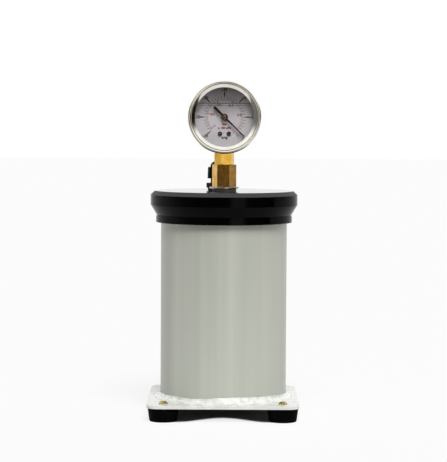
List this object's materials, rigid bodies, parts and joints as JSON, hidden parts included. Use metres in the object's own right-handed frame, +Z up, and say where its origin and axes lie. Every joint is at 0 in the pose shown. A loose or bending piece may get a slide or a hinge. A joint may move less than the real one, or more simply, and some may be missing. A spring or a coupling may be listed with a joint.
{
  "type": "vacuum chamber",
  "caption": "Small upright vacuum chamber: a white pipe on a footed square plate, closed by a lift-off black cap with a liquid-filled vacuum gauge and a check valve.",
  "frame": {"origin": "on the floor under the axis of the pipe, midway between the four feet", "axes": "+Z up along the pipe; -Y is the front, the side that the gauge faces; +X to the right as seen from the front"},
  "size_m": [0.135, 0.135, 0.3019],
  "materials": {
    "white_powder_coat": "glossy white powder coat on sheet steel",
    "foot_rubber": "moulded black rubber",
    "screw_brass": "dull brass",
    "fastener_steel": "bright zinc-plated steel",
    "white_pvc": "extruded white PVC, half gloss",
    "white_sealant": "white silicone sealant, smeared by hand",
    "black_gloss_plastic": "black plastic, turned and polished",
    "black_rubber": "soft black sealing rubber",
    "fibre_gasket": "grey-beige soft gasket",
    "fitting_brass": "machined brass, as turned",
    "gauge_brass": "machined brass, bright",
    "stainless_case": "deep-drawn stainless steel",
    "polished_stainless": "polished stainless steel",
    "window_glass": "clear instrument window",
    "dial_paint": "silver-grey painted aluminium",
    "pointer_black": "black-painted aluminium strip",
    "hub_bronze": "dark bronze, domed",
    "spring_bronze": "phosphor bronze",
    "movement_brass": "stamped clock brass",
    "valve_plastic": "moulded black nylon"
  },
  "bodies": {
    "stand": {"base_plate": "white_powder_coat", "foot_front_left": "foot_rubber", "foot_front_right": "foot_rubber", "foot_rear_left": "foot_rubber", "foot_rear_right": "foot_rubber", "foot_screws": "screw_brass", "foot_washers": "fastener_steel", "foot_nuts": "fastener_steel", "chamber_tube": "white_pvc", "sealant_bead": "white_sealant"},
    "lid_group": {"bourdon_tube": "spring_bronze", "brass_coupling": "fitting_brass", "case_screws": "fastener_steel", "dial_posts": "movement_brass", "dial_screws": "fastener_steel", "fill_plug": "black_rubber", "gauge_bezel": "polished_stainless", "gauge_case": "stainless_case", "gauge_dial": "dial_paint", "gauge_socket": "gauge_brass", "gauge_window": "window_glass", "hairspring": "spring_bronze", "lid": "black_gloss_plastic", "lid_seal_ring": "black_rubber", "movement_back_plate": "movement_brass", "movement_front_plate": "movement_brass", "movement_pillars": "movement_brass", "movement_screws": "fastener_steel", "port_gasket": "fibre_gasket", "port_inner_washer": "fastener_steel", "port_locknut": "fitting_brass", "port_nipple": "fitting_brass", "port_washer": "fastener_steel", "socket_seal": "black_rubber", "spring_stud": "movement_brass", "stop_pin": "movement_brass", "tip_pin": "fastener_steel", "tube_tip": "movement_brass", "valve_base": "valve_plastic", "valve_body": "valve_plastic", "valve_locknut": "valve_plastic", "valve_seal_ring": "black_rubber", "window_gasket": "black_rubber"},
    "pointer_group": {"pinion_spindle": "fastener_steel", "pointer": "pointer_black", "pointer_hub": "hub_bronze"},
    "sector_group": {"sector_gear": "movement_brass", "sector_arbor": "fastener_steel", "link_pin": "fastener_steel"},
    "link_group": {"link": "fastener_steel"},
    "disc_group": {"valve_disc": "black_rubber"}
  },
  "joints": [
    {"name": "lid_lift", "type": "slide", "parent": "stand", "child": "lid_group", "axis": [0, 0, 1], "range_m": [0, 0.05]},
    {"name": "pointer_turn", "type": "hinge", "parent": "lid_group", "child": "pointer_group", "pos_m": [0, -0.0126, 0.2689], "axis": [0, -1, 0], "range_deg": [0, 270], "stiffness_Nm_per_rad": 0.00017},
    {"name": "sector_turn", "type": "hinge", "parent": "lid_group", "child": "sector_group", "pos_m": [0, -0.003, 0.2545], "axis": [0, -1, 0], "range_deg": [-38.57, 0]},
    {"name": "link_swing", "type": "hinge", "parent": "sector_group", "child": "link_group", "pos_m": [0.00519, -0.0044, 0.25632], "axis": [0, -1, 0], "range_deg": [0, 38.57]},
    {"name": "valve_disc_lift", "type": "slide", "parent": "lid_group", "child": "disc_group", "axis": [0, 0, 1], "range_m": [0, 0.0015]}
  ],
  "couplings": [
    {"joint": "sector_turn", "follows": "pointer_turn", "ratio": -0.14286},
    {"joint": "link_swing", "follows": "pointer_turn", "ratio": 0.14286}
  ]
}
